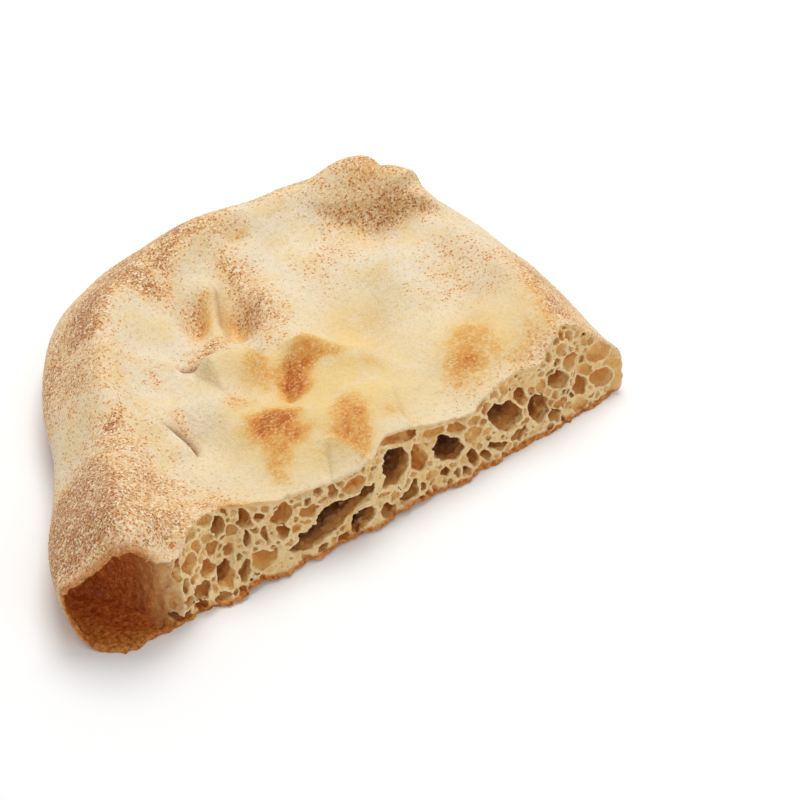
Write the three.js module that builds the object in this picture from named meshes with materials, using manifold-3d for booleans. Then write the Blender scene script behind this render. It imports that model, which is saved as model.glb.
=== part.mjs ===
// One half of a plain baked pinsa, broken across: a flat oval bread with a raised rim, a dimpled top
// and a torn, open crumb on the broken side. Millimetres, +Z up, X along the break, which faces -Y.
// The origin is on the surface that the bread lies on, under the middle of the loaf's box.
import * as THREE from "three";
import { mergeVertices } from "three/addons/utils/BufferGeometryUtils.js";
import Module from "manifold-3d";

const wasm = await Module();
wasm.setup();

// Outline seen from above, as a closed curve that runs on past the break
const OUTLINE = [
  [90, -84], [96, -52], [101.5, -16], [102, 14], [98, 38], [88, 58], [72, 68], [50, 71.5], [26, 73],
  [5, 71], [-19, 65.5], [-34.5, 58], [-46.5, 46], [-59.2, 27], [-69, 6], [-80.5, -11.3], [-92.5, -28],
  [-101, -47], [-102.5, -66], [-90, -88], [0, -100],
];

// Side profile of the loaf
const RIM_HEIGHT = 11;
const RIM_SINK = 6;
const RIM_SINK_INSET = 14;
const RIM_SINK_WIDTH = 10;
const RIM_TOP_WIDTH = 21;
const RIM_BOTTOM_WIDTH = 8;
const CROWN_HEIGHT = 21.5;
const RIDGE_HEIGHT = 8.5;
const RIDGE_INSET = 19;
const RIDGE_WIDTH = 11;
const LEAST_RISE = 2;
const CRUST = 1.3;

// The part's origin, in the middle of the loaf's box
const ORIGIN = new THREE.Vector3(0.4, 2.85, 0);

// Swellings, dents and lifts: x, y, half length, half width, turn in degrees, height
const MOUNDS = [
  [-79, -52, 25, 28, 20, 6.5],
  [-50, -64, 16, 12, 0, 5.5],
  [3, -44, 24, 20, 15, 8],
  [9, -62, 9, 8, 0, 1.5],
  [-24, -38, 13, 14, 0, 3.5],
  [75, 43, 15, 12, -30, 6],
  [16, 14, 8, 15, -20, 4],
  [-12, -7, 17, 9, 10, 3],
  [58, -34, 22, 20, 0, 6],
  [60, 6, 14, 12, 0, 4],
  [0, 62, 24, 12, -15, 4],
];
const DENTS = [
  [7, 19, 6, 12, -25, 9.5],
  [-4, 25, 5, 9, -25, 7],
  [-80, -66, 14, 9, 0, 6.5],
  [-71, -62, 4, 7, 0, 2.5],
  [-2, -65, 7, 7, 0, 1.8],
  [35, -5, 11, 17, -20, 7],
  [27, 46, 6, 4, 0, 3],
  [-36, -24, 8, 15, 10, 3],
  [-38, 2, 16, 12, 40, 2],
  [-14, -66, 9, 8, 0, 1.5],
  [34, -60, 9, 14, 0, 2.5],
  [84, 16, 15, 10, 0, 3],
  [89, 42, 9, 10, -30, 3.5],
];
const RIM_LIFTS = [[-103, -58, 18, 24, 0, 7.5]];
const UNDER_LIFTS = [
  [-8, -76, 42, 14, 0, 1.2],
  [-47, -66, 6, 7, 0, 1.6],
  [11, -68, 6, 6, 0, 1.2],
];

// Folds of the skin, each a ridge that falls off steeply to the left of its way and gently to the right:
// start, control point and end of a curve, height, steep and gentle half width
const FOLDS = [
  [[-21, 3], [-11, 4], [3, -8], 6, 1.4, 9],
  [[-30, 22], [-24, 11], [-17, 3], 2, 1.6, 7],
  [[11.5, 38], [6, 27.5], [-3, 11], 3.2, 2.4, 6],
  [[6, -4], [18, -11], [30, -41], 6.5, 2.2, 9],
  [[-48, -3], [-36.5, -17], [-42, -31], 3.6, 1.2, 9],
  [[91, 54], [98, 18], [58, 33], 4, 1.8, 14],
  [[92, 18], [72, 24], [52, 49], 4, 1.3, 12],
  [[-13, -51], [-5, -53], [-4, -68], 2.4, 1.2, 8],
  [[20, -40], [14, -52], [13, -63], 2, 1.4, 7],
];

// Creases in the top: start, control point and end of a curve, depth, half width
const CREASES = [
  [[11, 37], [7, 28], [-1, 14.5], 1, 1.5],
  [[-23, 9], [-19, 6.5], [-15, 4.5], 5.5, 1.3],
  [[-43.5, -5.5], [-35, -17.5], [-40.5, -29.5], 4, 1.2],
  [[94, 54], [84, 43], [74, 34], 4, 2.2],
  [[5, -7], [-1, -17], [-7, -31], 3, 2.4],
  [[-18.5, 5.5], [-10.5, 7], [4, -4.5], 5, 1.8],
];
// Steps along such a curve, the share of it over which a fold or crease fades in, and the least half width
const CURVE_STEPS = 16;
const FADE = 0.3;
const NARROWEST = 2.5;
const UNDULATION = [[46, 0.7, 0.6], [33, 0.5, 2.1], [24, 0.4, 3.9], [17, 0.25, 5.2]];
const UNDULATION_WARP = 7;
const UNDULATION_WARP_LENGTH = 18;

// The broken side: it leans back towards the top, bows out along its foot and falls back at the left corner
const BREAK_Y = -63.2;
const BREAK_BOW = 3.5;
const BREAK_BOW_X = -10;
const BREAK_BOW_HALF = 95;
const CORNER_X = -80;
const CORNER_WIDTH = 23;
const CORNER_SETBACK = 11;
const BREAK_LEAN = 0.28;
// Changes of that lean along the break: place, half width, change
const LEAN_CHANGES = [[-54, 8, 0.26], [-76, 11, -0.25], [-8, 9, -0.17]];
const BREAK_WAVES = [[41, 23, 0.5], [17, 29, 0.4], [11, 13, 0.3]];

// The block that was broken away
const AWAY_WIDTH = 240;
const AWAY_DEPTH = 60;
const AWAY_HEIGHT = 60;
const AWAY_FOOT = -10;

// The big blister at the left corner, burst open by the break, with a shallow scoop towards the crumb
const BLISTERS = [
  { centre: [-98, -62, 15], half: [22, 30, 40] },
  { centre: [-80, -68, 14], half: [10, 9, 18] },
];

// Holes in the crumb: place along the break, height, half length, half breadth, depth, tilt in degrees
const CRUMB_HOLES = [
  [5.5, 16.7, 6.4, 4.9, 12, 30],
  [26.5, 12.5, 6.4, 4, 11, -25],
  [-19, 10.4, 17, 3.4, 14, 17],
  [-8, 6.3, 4.8, 3.8, 15, 22],
  [10.5, 6.2, 4.1, 1.8, 8, 28],
  [15, 14.5, 4.4, 2.7, 4, 94],
  [34.5, 5.2, 2.5, 1.8, 6, -55],
  [-34, 19, 3.3, 3.1, 4.5, 10],
  [-25, 16, 3.1, 1.6, 2.2, -15],
  [-53, 21, 2.7, 1.7, 5, 67],
  [-45.5, 21, 2.5, 1.7, 5, -75],
  [-45.5, 15.5, 2.6, 1.2, 4, 75],
  [-60, 12, 3.1, 1.9, 4, -35],
  [-55, 7.5, 3.2, 2.4, 6, 60],
  [-48.5, 7, 3.4, 1.4, 5, 45],
  [-64.5, 8, 3.7, 2.6, 5, -40],
  [-42, 8.5, 4.4, 2.7, 3.5, -5],
  [-70, 3.5, 3, 1.6, 6, -10],
  [1, 4.5, 3.2, 1.3, 6, -15],
  [48, 13.5, 6, 4.4, 10, -20],
  [61, 9.5, 4.8, 4, 9, -40],
  [70.5, 15.5, 3.6, 3, 7, -20],
  [44, 5.5, 3.2, 1.6, 6, -20],
  [79, 9, 3, 2.2, 5, -20],
];
// Small holes drawn between those: their number, half width, flatness, depth for each half width and tilt
const SMALL_HOLES = 30;
const SMALL_HOLE_HALF = [1.5, 2.4];
const SMALL_HOLE_FLATNESS = [0.8, 1.1];
const SMALL_HOLE_DEPTH = [1, 1.8];
const SMALL_HOLE_TILT = [-30, 30];
const SMALL_HOLE_WALL = 0.7;
const SMALL_HOLE_SPAN = [-72, 84];
const SEED = 7;

// Mesh density: grid of the skin, step along the break, roundness of hollows and largest flattening
const GRID = 52;
const EDGE_CROWDING = 1.4;
const MIDDLE = new THREE.Vector3(2, -4, 0);
const LOOP_STEPS = 200;
const BREAK_STEP = 4;
const BLISTER_DETAIL = 3;
const LARGE_HOLE_DETAIL = 1;
const SMALL_HOLE_DETAIL = 0;
const WELD = 1e-4;
const FLATTENING = 0.06;

const outline = new THREE.CatmullRomCurve3(
  OUTLINE.map(([x, y]) => new THREE.Vector3(x, y, 0)), true, "catmullrom", 0.5);
const loop = outline.getSpacedPoints(LOOP_STEPS).slice(0, LOOP_STEPS);

function smooth(t) {
  return THREE.MathUtils.smoothstep(t, 0, 1);
}

// Signed distance to the outline, positive inside
function insideDistance(x, y) {
  let best = Infinity;
  let inside = false;
  loop.forEach((a, i) => {
    const b = loop[(i + 1) % LOOP_STEPS];
    const ex = b.x - a.x;
    const ey = b.y - a.y;
    const along = ((x - a.x) * ex + (y - a.y) * ey) / (ex * ex + ey * ey);
    const t = THREE.MathUtils.clamp(along, 0, 1);
    best = Math.min(best, Math.hypot(x - a.x - t * ex, y - a.y - t * ey));
    if (a.y <= y !== b.y <= y && x < a.x + ((y - a.y) * ex) / ey) inside = !inside;
  });
  return inside ? best : -best;
}

// A soft round swelling of height 1
function bump(x, y, [cx, cy, halfLength, halfWidth, turn]) {
  const a = THREE.MathUtils.degToRad(turn);
  const u = (x - cx) * Math.cos(a) + (y - cy) * Math.sin(a);
  const v = (y - cy) * Math.cos(a) - (x - cx) * Math.sin(a);
  return Math.exp(-((u / halfLength) ** 2) - (v / halfWidth) ** 2);
}

function sumOfBumps(x, y, list) {
  return list.reduce((sum, item) => sum + item[5] * bump(x, y, item), 0);
}

// Signed distance to a curve, positive to the left of its way, and the share of the way at the nearest point
function alongCurve(x, y, [start, control, end]) {
  const curve = new THREE.QuadraticBezierCurve(
    new THREE.Vector2(...start), new THREE.Vector2(...control), new THREE.Vector2(...end));
  const points = curve.getPoints(CURVE_STEPS);
  let nearest = Infinity;
  let distance = 0;
  let share = 0;
  for (let i = 0; i < CURVE_STEPS; i++) {
    const a = points[i];
    const way = points[i + 1].clone().sub(a);
    const p = new THREE.Vector2(x, y).sub(a);
    const onWay = THREE.MathUtils.clamp(p.dot(way) / way.lengthSq(), 0, 1);
    const off = p.clone().addScaledVector(way, -onWay).length();
    if (off < nearest) {
      nearest = off;
      distance = way.cross(p) > 0 ? off : -off;
      share = (i + onWay) / CURVE_STEPS;
    }
  }
  return { distance, share };
}

// Rises from 0 to 1 over the first part of a way, and falls again over the last
function fading(share) {
  return smooth(share / FADE) * smooth((1 - share) / FADE);
}

function creaseDepth(x, y, [start, control, end, depth, halfWidth]) {
  const { distance, share } = alongCurve(x, y, [start, control, end]);
  return depth * Math.exp(-Math.abs(distance) / Math.max(halfWidth, NARROWEST)) * fading(share);
}

function foldHeight(x, y, [start, control, end, height, steep, gentle]) {
  const { distance, share } = alongCurve(x, y, [start, control, end]);
  const width = distance > 0 ? Math.max(steep, NARROWEST) : gentle;
  return height * Math.exp(-((distance / width) ** 2)) * fading(share);
}

// Slow uneven rise and fall of the top
function undulation(x, y) {
  const u = x + UNDULATION_WARP * Math.sin(y / UNDULATION_WARP_LENGTH);
  const v = y + UNDULATION_WARP * Math.sin(x / UNDULATION_WARP_LENGTH);
  return UNDULATION.reduce(
    (sum, [length, height, turn]) =>
      sum + height * Math.sin((2 * Math.PI * (u * Math.cos(turn) + v * Math.sin(turn))) / length + turn), 0);
}

function crownHeight(x, y, inside) {
  const ridge = RIDGE_HEIGHT * Math.exp(-(((inside - RIDGE_INSET) / RIDGE_WIDTH) ** 2));
  const swellings = sumOfBumps(x, y, MOUNDS) - sumOfBumps(x, y, DENTS);
  const creases = CREASES.reduce((sum, item) => sum + creaseDepth(x, y, item), 0);
  const folds = FOLDS.reduce((sum, item) => sum + foldHeight(x, y, item), 0);
  return CROWN_HEIGHT + ridge + swellings + folds - creases + undulation(x, y);
}

// Quarter of an ellipse: 0 at the outline, 1 from the given width inwards
function roundedEdge(inside, width) {
  const t = THREE.MathUtils.clamp(1 - inside / width, 0, 1);
  return Math.sqrt(1 - t * t);
}

// Height of the loaf's widest line, which sinks under the crown
function rimHeight(x, y, inside) {
  const sink = RIM_SINK * smooth((inside - RIM_SINK_INSET) / RIM_SINK_WIDTH);
  return RIM_HEIGHT - sink + sumOfBumps(x, y, RIM_LIFTS);
}

// Height of the loaf's skin over a point, on its upper or under side, moved inwards by an inset
function skinHeight(x, y, upper, inset) {
  const fromOutline = insideDistance(x, y);
  const inside = Math.max(fromOutline - inset, 0);
  const rim = rimHeight(x, y, fromOutline);
  if (upper) {
    const rise = Math.max(crownHeight(x, y, fromOutline) - inset - rim, LEAST_RISE);
    return rim + rise * roundedEdge(inside, RIM_TOP_WIDTH);
  }
  const under = sumOfBumps(x, y, UNDER_LIFTS) + inset;
  return rim + (under - rim) * roundedEdge(inside, RIM_BOTTOM_WIDTH);
}

// A place on the plan for a place in a square from -1 to 1: square rings, drawn out to the outline
function planPoint(u, v, inset) {
  const reach = Math.max(Math.abs(u), Math.abs(v));
  if (reach === 0) return MIDDLE.clone();
  const wide = Math.abs(u) >= Math.abs(v);
  const eighths = (wide ? v / u : 2 - u / v) + ((wide ? u : v) < 0 ? 4 : 0);
  const along = THREE.MathUtils.euclideanModulo(eighths / 8, 1);
  const tangent = outline.getTangentAt(along);
  const edge = outline.getPointAt(along);
  edge.x -= tangent.y * inset;
  edge.y += tangent.x * inset;
  return MIDDLE.clone().lerp(edge, 1 - (1 - reach) ** EDGE_CROWDING);
}

// The whole loaf as an upper and an under sheet that share the rim, moved inwards by an inset
function loafGeometry(inset) {
  const positions = [];
  const triangles = [];
  const vertices = new Map();
  const vertex = (i, j, upper) => {
    const onRim = i === 0 || j === 0 || i === GRID || j === GRID;
    const key = [onRim ? "rim" : upper, i, j].join();
    if (!vertices.has(key)) {
      const p = planPoint((2 * i) / GRID - 1, (2 * j) / GRID - 1, inset);
      vertices.set(key, positions.length / 3);
      positions.push(p.x, p.y, onRim ? rimHeight(p.x, p.y, 0) : skinHeight(p.x, p.y, upper, inset));
    }
    return vertices.get(key);
  };
  for (const upper of [true, false]) {
    for (let i = 0; i < GRID; i++) {
      for (let j = 0; j < GRID; j++) {
        const quad = [[i, j], [i + 1, j], [i + 1, j + 1], [i, j + 1]].map(([a, b]) => vertex(a, b, upper));
        const outward = i < GRID / 2 === j < GRID / 2;
        if (!outward) quad.push(quad.shift());
        if (!upper) {
          quad.reverse();
          quad.unshift(quad.pop());
        }
        triangles.push(quad[0], quad[1], quad[2], quad[0], quad[2], quad[3]);
      }
    }
  }
  const geometry = new THREE.BufferGeometry();
  geometry.setAttribute("position", new THREE.Float32BufferAttribute(positions, 3));
  geometry.setIndex(triangles);
  return geometry;
}

// Where the broken side lies, at a place along it and a height
function breakY(x, z) {
  const bow = BREAK_BOW * Math.max(0, 1 - ((x - BREAK_BOW_X) / BREAK_BOW_HALF) ** 2);
  const corner = CORNER_SETBACK * Math.max(0, (CORNER_X - x) / CORNER_WIDTH) ** 2;
  const lean = LEAN_CHANGES.reduce(
    (sum, [at, half, change]) => sum + change * Math.exp(-(((x - at) / half) ** 2)), BREAK_LEAN);
  const waves = BREAK_WAVES.reduce(
    (sum, [lengthX, lengthZ, height]) =>
      sum + height * Math.sin((2 * Math.PI * x) / lengthX) * Math.cos((2 * Math.PI * z) / lengthZ), 0);
  return BREAK_Y - bow + corner + lean * z + waves;
}

// The block of bread that was broken away
function brokenAwayGeometry() {
  const steps = [AWAY_WIDTH, AWAY_HEIGHT].map((size) => Math.round(size / BREAK_STEP));
  const geometry = new THREE.BoxGeometry(AWAY_WIDTH, AWAY_DEPTH, AWAY_HEIGHT, steps[0], 1, steps[1]);
  geometry.translate(0, 0, AWAY_FOOT + AWAY_HEIGHT / 2);
  const position = geometry.attributes.position;
  for (let i = 0; i < position.count; i++) {
    const far = position.getY(i) > 0;
    const y = breakY(position.getX(i), position.getZ(i));
    position.setY(i, far ? y : BREAK_Y - AWAY_DEPTH);
  }
  return geometry;
}

function ellipsoidGeometry([halfX, halfY, halfZ], [x, y, z], tilt, detail) {
  const geometry = new THREE.IcosahedronGeometry(1, detail);
  geometry.scale(halfX, halfY, halfZ);
  geometry.rotateY(-THREE.MathUtils.degToRad(tilt));
  geometry.translate(x, y, z);
  return geometry;
}

function solid(geometry) {
  const bare = new THREE.BufferGeometry();
  bare.setAttribute("position", geometry.attributes.position);
  if (geometry.index) bare.setIndex(geometry.index);
  const merged = mergeVertices(bare, WELD);
  return new wasm.Manifold(new wasm.Mesh({
    numProp: 3,
    vertProperties: new Float32Array(merged.attributes.position.array),
    triVerts: new Uint32Array(merged.index.array),
  }));
}

function geometryOf(manifold) {
  const mesh = manifold.getMesh();
  const geometry = new THREE.BufferGeometry();
  geometry.setAttribute("position", new THREE.BufferAttribute(mesh.vertProperties, 3));
  geometry.setIndex(new THREE.BufferAttribute(mesh.triVerts, 1));
  geometry.computeVertexNormals();
  return geometry;
}

// Repeatable draws between 0 and 1
function seededDraws(seed) {
  let state = seed;
  return () => {
    state = (state * 16807) % 2147483647;
    return state / 2147483647;
  };
}

// The large holes of the crumb, and small ones drawn into the room between them
function crumbHoles() {
  const draw = seededDraws(SEED);
  const between = ([low, high]) => low + (high - low) * draw();
  const holes = [...CRUMB_HOLES];
  while (holes.length < CRUMB_HOLES.length + SMALL_HOLES) {
    const half = between(SMALL_HOLE_HALF);
    const x = between(SMALL_HOLE_SPAN);
    const top = skinHeight(x, breakY(x, CROWN_HEIGHT), true, CRUST) - half;
    const z = between([CRUST + half, top]);
    const clear = holes.every(([hx, hz, halfX, halfZ]) => {
      const u = (x - hx) / (halfX + half + SMALL_HOLE_WALL);
      const v = (z - hz) / (halfZ + half + SMALL_HOLE_WALL);
      return u * u + v * v > 1;
    });
    if (clear) {
      const tall = half * between(SMALL_HOLE_FLATNESS);
      const deep = half * between(SMALL_HOLE_DEPTH);
      holes.push([x, z, half, tall, deep, between(SMALL_HOLE_TILT)]);
    }
  }
  return holes;
}

function crumbHoleSolid([x, z, halfX, halfZ, depth, tilt], index) {
  const detail = index < CRUMB_HOLES.length ? LARGE_HOLE_DETAIL : SMALL_HOLE_DETAIL;
  return solid(ellipsoidGeometry([halfX, depth, halfZ], [x, breakY(x, z), z], tilt, detail));
}

function makePinsa() {
  const blisters = BLISTERS.map(({ centre, half }) => ellipsoidGeometry(half, centre, 0, BLISTER_DETAIL));
  const hollows = [...blisters.map(solid), ...crumbHoles().map(crumbHoleSolid)];
  const air = wasm.Manifold.union(hollows).intersect(solid(loafGeometry(CRUST)));
  const bread = solid(loafGeometry(0)).subtract(solid(brokenAwayGeometry())).subtract(air);
  const bodies = bread.decompose().sort((a, b) => b.volume() - a.volume());
  const geometry = geometryOf(bodies[0].simplify(FLATTENING));
  geometry.translate(-ORIGIN.x, -ORIGIN.y, -ORIGIN.z);
  const crust = new THREE.MeshStandardMaterial({ color: 0xdcc08f, roughness: 0.85, metalness: 0 });
  const mesh = new THREE.Mesh(geometry, crust);
  mesh.name = "pinsa";
  return mesh;
}

const part = new THREE.Group();
part.add(makePinsa());

export default part;
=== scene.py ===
"""One half of a plain baked pinsa, broken across: floured crust, open crumb and a burst corner blister.

Shapes are worked out in millimetres in the frame of the solids: X along the break, +Y into the bread, Z up.
"""
import math

import bpy
import numpy as np
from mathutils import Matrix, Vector


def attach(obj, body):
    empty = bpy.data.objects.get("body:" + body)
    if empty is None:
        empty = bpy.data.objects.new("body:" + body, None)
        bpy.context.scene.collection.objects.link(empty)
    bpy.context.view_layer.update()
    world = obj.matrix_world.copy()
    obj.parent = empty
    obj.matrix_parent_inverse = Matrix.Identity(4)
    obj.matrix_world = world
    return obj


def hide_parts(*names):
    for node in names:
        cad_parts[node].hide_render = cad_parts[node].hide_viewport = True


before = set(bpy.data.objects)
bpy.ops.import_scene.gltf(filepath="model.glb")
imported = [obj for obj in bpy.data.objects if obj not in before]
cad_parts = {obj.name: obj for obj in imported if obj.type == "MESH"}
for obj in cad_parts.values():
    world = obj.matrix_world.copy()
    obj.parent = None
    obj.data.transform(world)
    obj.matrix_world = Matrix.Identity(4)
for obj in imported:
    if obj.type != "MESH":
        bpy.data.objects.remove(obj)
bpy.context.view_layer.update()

MM = 0.001

# Outline seen from above, as a closed curve that runs on past the break
OUTLINE = [
    (90, -84), (96, -52), (101.5, -16), (102, 14), (98, 38), (88, 58), (72, 68), (50, 71.5), (26, 73),
    (5, 71), (-19, 65.5), (-34.5, 58), (-46.5, 46), (-59.2, 27), (-69, 6), (-80.5, -11.3), (-92.5, -28),
    (-101, -47), (-102.5, -66), (-90, -88), (0, -100),
]

# Side profile of the loaf
RIM_HEIGHT = 11.0
RIM_SINK = 6.0
RIM_SINK_INSET = 14.0
RIM_SINK_WIDTH = 10.0
RIM_TOP_WIDTH = 21.0
RIM_BOTTOM_WIDTH = 8.0
CROWN_HEIGHT = 21.5
RIDGE_HEIGHT = 8.5
RIDGE_INSET = 19.0
RIDGE_WIDTH = 11.0
LEAST_RISE = 2.0
CRUST = 1.9

# The part's origin, in the middle of the loaf's box
ORIGIN = np.array([0.4, 2.85, 0.0])

# Swellings, dents and lifts: x, y, half length, half width, turn in degrees, height
MOUNDS = [
    (-79, -52, 25, 28, 20, 6.5),
    (-50, -64, 16, 12, 0, 5.5),
    (3, -44, 24, 20, 15, 8),
    (9, -62, 9, 8, 0, 1.5),
    (-24, -38, 13, 14, 0, 3.5),
    (75, 43, 15, 12, -30, 6),
    (16, 14, 8, 15, -20, 4),
    (-12, -7, 17, 9, 10, 3),
    (58, -34, 22, 20, 0, 6),
    (60, 6, 14, 12, 0, 4),
    (0, 62, 24, 12, -15, 4),
]
DENTS = [
    (7, 19, 6, 12, -25, 9.5),
    (-4, 25, 5, 9, -25, 7),
    (-80, -66, 14, 9, 0, 6.5),
    (-71, -62, 4, 7, 0, 2.5),
    (-2, -65, 7, 7, 0, 1.8),
    (35, -5, 11, 17, -20, 7),
    (27, 46, 6, 4, 0, 3),
    (-36, -24, 8, 15, 10, 3),
    (-38, 2, 16, 12, 40, 2),
    (-14, -66, 9, 8, 0, 1.5),
    (34, -60, 9, 14, 0, 2.5),
    (84, 16, 15, 10, 0, 3),
    (89, 42, 9, 10, -30, 3.5),
]
RIM_LIFTS = [(-103, -58, 18, 24, 0, 7.5)]
UNDER_LIFTS = [
    (-8, -76, 42, 14, 0, 1.2),
    (-47, -66, 6, 7, 0, 1.6),
    (11, -68, 6, 6, 0, 1.2),
]

# Folds of the skin, each a ridge that falls off steeply to the left of its way and gently to the right:
# start, control point and end of a curve, height, steep and gentle half width
FOLDS = [
    ((-21, 3), (-11, 4), (3, -8), 6, 1.4, 9),
    ((-30, 22), (-24, 11), (-17, 3), 2, 1.6, 7),
    ((11.5, 38), (6, 27.5), (-3, 11), 3.2, 2.4, 6),
    ((6, -4), (18, -11), (30, -41), 6.5, 2.2, 9),
    ((-48, -3), (-36.5, -17), (-42, -31), 3.6, 1.2, 9),
    ((91, 54), (98, 18), (58, 33), 4, 1.8, 14),
    ((92, 18), (72, 24), (52, 49), 4, 1.3, 12),
    ((-13, -51), (-5, -53), (-4, -68), 2.4, 1.2, 8),
    ((20, -40), (14, -52), (13, -63), 2, 1.4, 7),
]

# Creases in the top: start, control point and end of a curve, depth, half width, and strength of the browning
# along it, which also paints the shade in the crease
CREASES = [
    ((11, 37), (7, 28), (-1, 14.5), 1, 1.5, 0.6),
    ((-23, 9), (-19, 6.5), (-15, 4.5), 5.5, 1.3, 1),
    ((-43.5, -5.5), (-35, -17.5), (-40.5, -29.5), 4, 1.2, 1),
    ((94, 54), (84, 43), (74, 34), 4, 2.2, 0.3),
    ((5, -7), (-1, -17), (-7, -31), 3, 2.4, 0.3),
    ((-18.5, 5.5), (-10.5, 7), (4, -4.5), 5, 1.8, 1),
]
# Share of its way over which a fold or crease fades in, and out again
FADE = 0.3
# Long waves of the top: length, height, direction. They are bent by the warp, over the given length
UNDULATION = [(46, 0.7, 0.6), (33, 0.5, 2.1), (24, 0.4, 3.9), (17, 0.25, 5.2)]
UNDULATION_WARP = 7.0
UNDULATION_WARP_LENGTH = 18.0
# Fine unevenness of the skin: size, height
SKIN_RELIEF = [(8.0, 0.4), (3.4, 0.2)]

# The broken side: it leans back towards the top, bows out along its foot and falls back at the left corner
BREAK_Y = -63.2
BREAK_BOW = 3.5
BREAK_BOW_X = -10.0
BREAK_BOW_HALF = 95.0
CORNER_X = -80.0
CORNER_WIDTH = 23.0
CORNER_SETBACK = 11.0
BREAK_LEAN = 0.28
# Changes of that lean along the break: place, half width, change
LEAN_CHANGES = [(-54, 8, 0.26), (-76, 11, -0.25), (-8, 9, -0.17)]
# Waves of the broken side: length along it, length upwards, height
BREAK_WAVES = [(41, 23, 0.5), (17, 29, 0.4), (11, 13, 0.3)]
# Its torn surface: size, depth
TORN = [(6.0, 1.0), (2.4, 0.6), (1.1, 0.35)]
# Its ragged foot: depth, height that it reaches, size
RAGGED_FOOT = 0.9
RAGGED_HEIGHT = 3.0
RAGGED_SIZE = 1.9

# The big blister at the left corner, burst open by the break, with a shallow scoop towards the crumb:
# centre and half sizes of each
BLISTERS = [((-98.0, -62.0, 15.0), (22.0, 30.0, 40.0)), ((-80.0, -68.0, 14.0), (10.0, 9.0, 18.0))]
BLISTER_END = (-68.0, -31.0)
BLISTER_BLEND = 6.0
BLISTER_CRUST = 1.2
BLISTER_ROUGH = [(4.5, 0.5), (1.5, 0.3)]

# Holes in the crumb: place along the break, height, half length, half breadth, depth, tilt in degrees
CRUMB_HOLES = [
    (5.5, 16.7, 6.4, 4.9, 12, 30),
    (26.5, 12.5, 6.4, 4, 11, -25),
    (-19, 10.4, 17, 3.4, 14, 17),
    (-8, 6.3, 4.8, 3.8, 15, 22),
    (10.5, 6.2, 4.1, 1.8, 8, 28),
    (15, 14.5, 4.4, 2.7, 4, 94),
    (34.5, 5.2, 2.5, 1.8, 6, -55),
    (-34, 19, 3.3, 3.1, 4.5, 10),
    (-25, 16, 3.1, 1.6, 2.2, -15),
    (-53, 21, 2.7, 1.7, 5, 67),
    (-45.5, 21, 2.5, 1.7, 5, -75),
    (-45.5, 15.5, 2.6, 1.2, 4, 75),
    (-60, 12, 3.1, 1.9, 4, -35),
    (-55, 7.5, 3.2, 2.4, 6, 60),
    (-48.5, 7, 3.4, 1.4, 5, 45),
    (-64.5, 8, 3.7, 2.6, 5, -40),
    (-42, 8.5, 4.4, 2.7, 3.5, -5),
    (-70, 3.5, 3, 1.6, 6, -10),
    (1, 4.5, 3.2, 1.3, 6, -15),
    (48, 13.5, 6, 4.4, 10, -20),
    (61, 9.5, 4.8, 4, 9, -40),
    (70.5, 15.5, 3.6, 3, 7, -20),
    (44, 5.5, 3.2, 1.6, 6, -20),
    (79, 9, 3, 2.2, 5, -20),
]
# Smaller holes, in the same way
SMALL_HOLES = [
    (-73.5, 16, 4.2, 1.1, 3, 80),
    (-71.3, 20, 3.6, 0.9, 2.5, 84),
    (-73, 9.5, 3.0, 1.0, 2.5, 95),
    (-70, 13.5, 3.2, 0.8, 2, 82),
    (-41, 20.5, 1.7, 1.0, 3, -60),
    (-34.5, 13.5, 1.6, 1.2, 2.5, -10),
    (-69.5, 7, 2.1, 1.2, 3, -60),
    (-65.5, 3.2, 2.3, 1.1, 4, -10),
    (-58, 3.6, 1.6, 1.0, 3, 0),
    (-49.5, 18.5, 1.7, 1.6, 2.2, 25),
    (-43.5, 17.5, 1.7, 1.2, 2, -10),
    (-40.5, 15.5, 1.9, 1.2, 2, 90),
    (-62, 20.5, 2.1, 1.7, 2.5, -15),
    (-56, 15.5, 1.8, 1.5, 2.2, -30),
    (-51.5, 13, 1.6, 1.4, 2.2, 5),
    (-57, 24.3, 2.2, 1.3, 2, -30),
    (-49, 10, 1.4, 0.8, 2.5, 60),
    (-39, 11, 1.2, 0.9, 2, -15),
    (-21.5, 20.8, 1.2, 1.0, 2.5, -50),
    (-25, 19.3, 1.3, 1.0, 2.5, -30),
    (-17, 19, 2.1, 1.6, 2.2, -70),
    (21.5, 20, 3.4, 1.4, 2.2, 0),
    (30, 17.3, 3.4, 1.6, 2.5, -20),
    (10, 23.3, 6, 1.6, 2, -15),
    (14, 6, 1.9, 1.5, 3, -70),
    (23.5, 5.3, 1.5, 1.2, 4, -45),
    (31, 3.8, 1.5, 1.0, 4, -20),
    (27.5, 4.6, 1.2, 1.1, 3, 0),
    (39.5, 3.8, 1.5, 0.9, 3, -28),
    (-34, 4.4, 1.8, 1.2, 5, -20),
    (-23.5, 3.6, 1.8, 0.8, 4, 3),
    (-15.5, 3.5, 1.6, 0.9, 4, -8),
    (-5, 3.9, 2.2, 1.0, 4, 25),
    (56, 16, 2.5, 2, 4, -30),
    (66, 5, 2.5, 1.5, 5, -20),
]
# Holes drawn into the room between those: smallest and largest half width, tries, wall
DRAWN_HOLES = [(1.9, 2.9, 120, 0.5), (1.1, 1.9, 500, 0.45), (0.6, 1.1, 2500, 0.4), (0.4, 0.6, 3000, 0.35)]
# Stretch of the break that they lie in, and the number of places along it where the room is measured
HOLE_SPAN = (-70.0, 88.0)
HOLE_SAMPLES = 400
# Smallest and largest width, height and depth of such a hole as shares of its half width, and tilt in degrees
DRAWN_WIDTH = (0.9, 1.7)
DRAWN_HEIGHT = (0.7, 1.05)
DRAWN_DEPTH = (0.6, 1.3)
DRAWN_TILT = (-30.0, 30.0)
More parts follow.
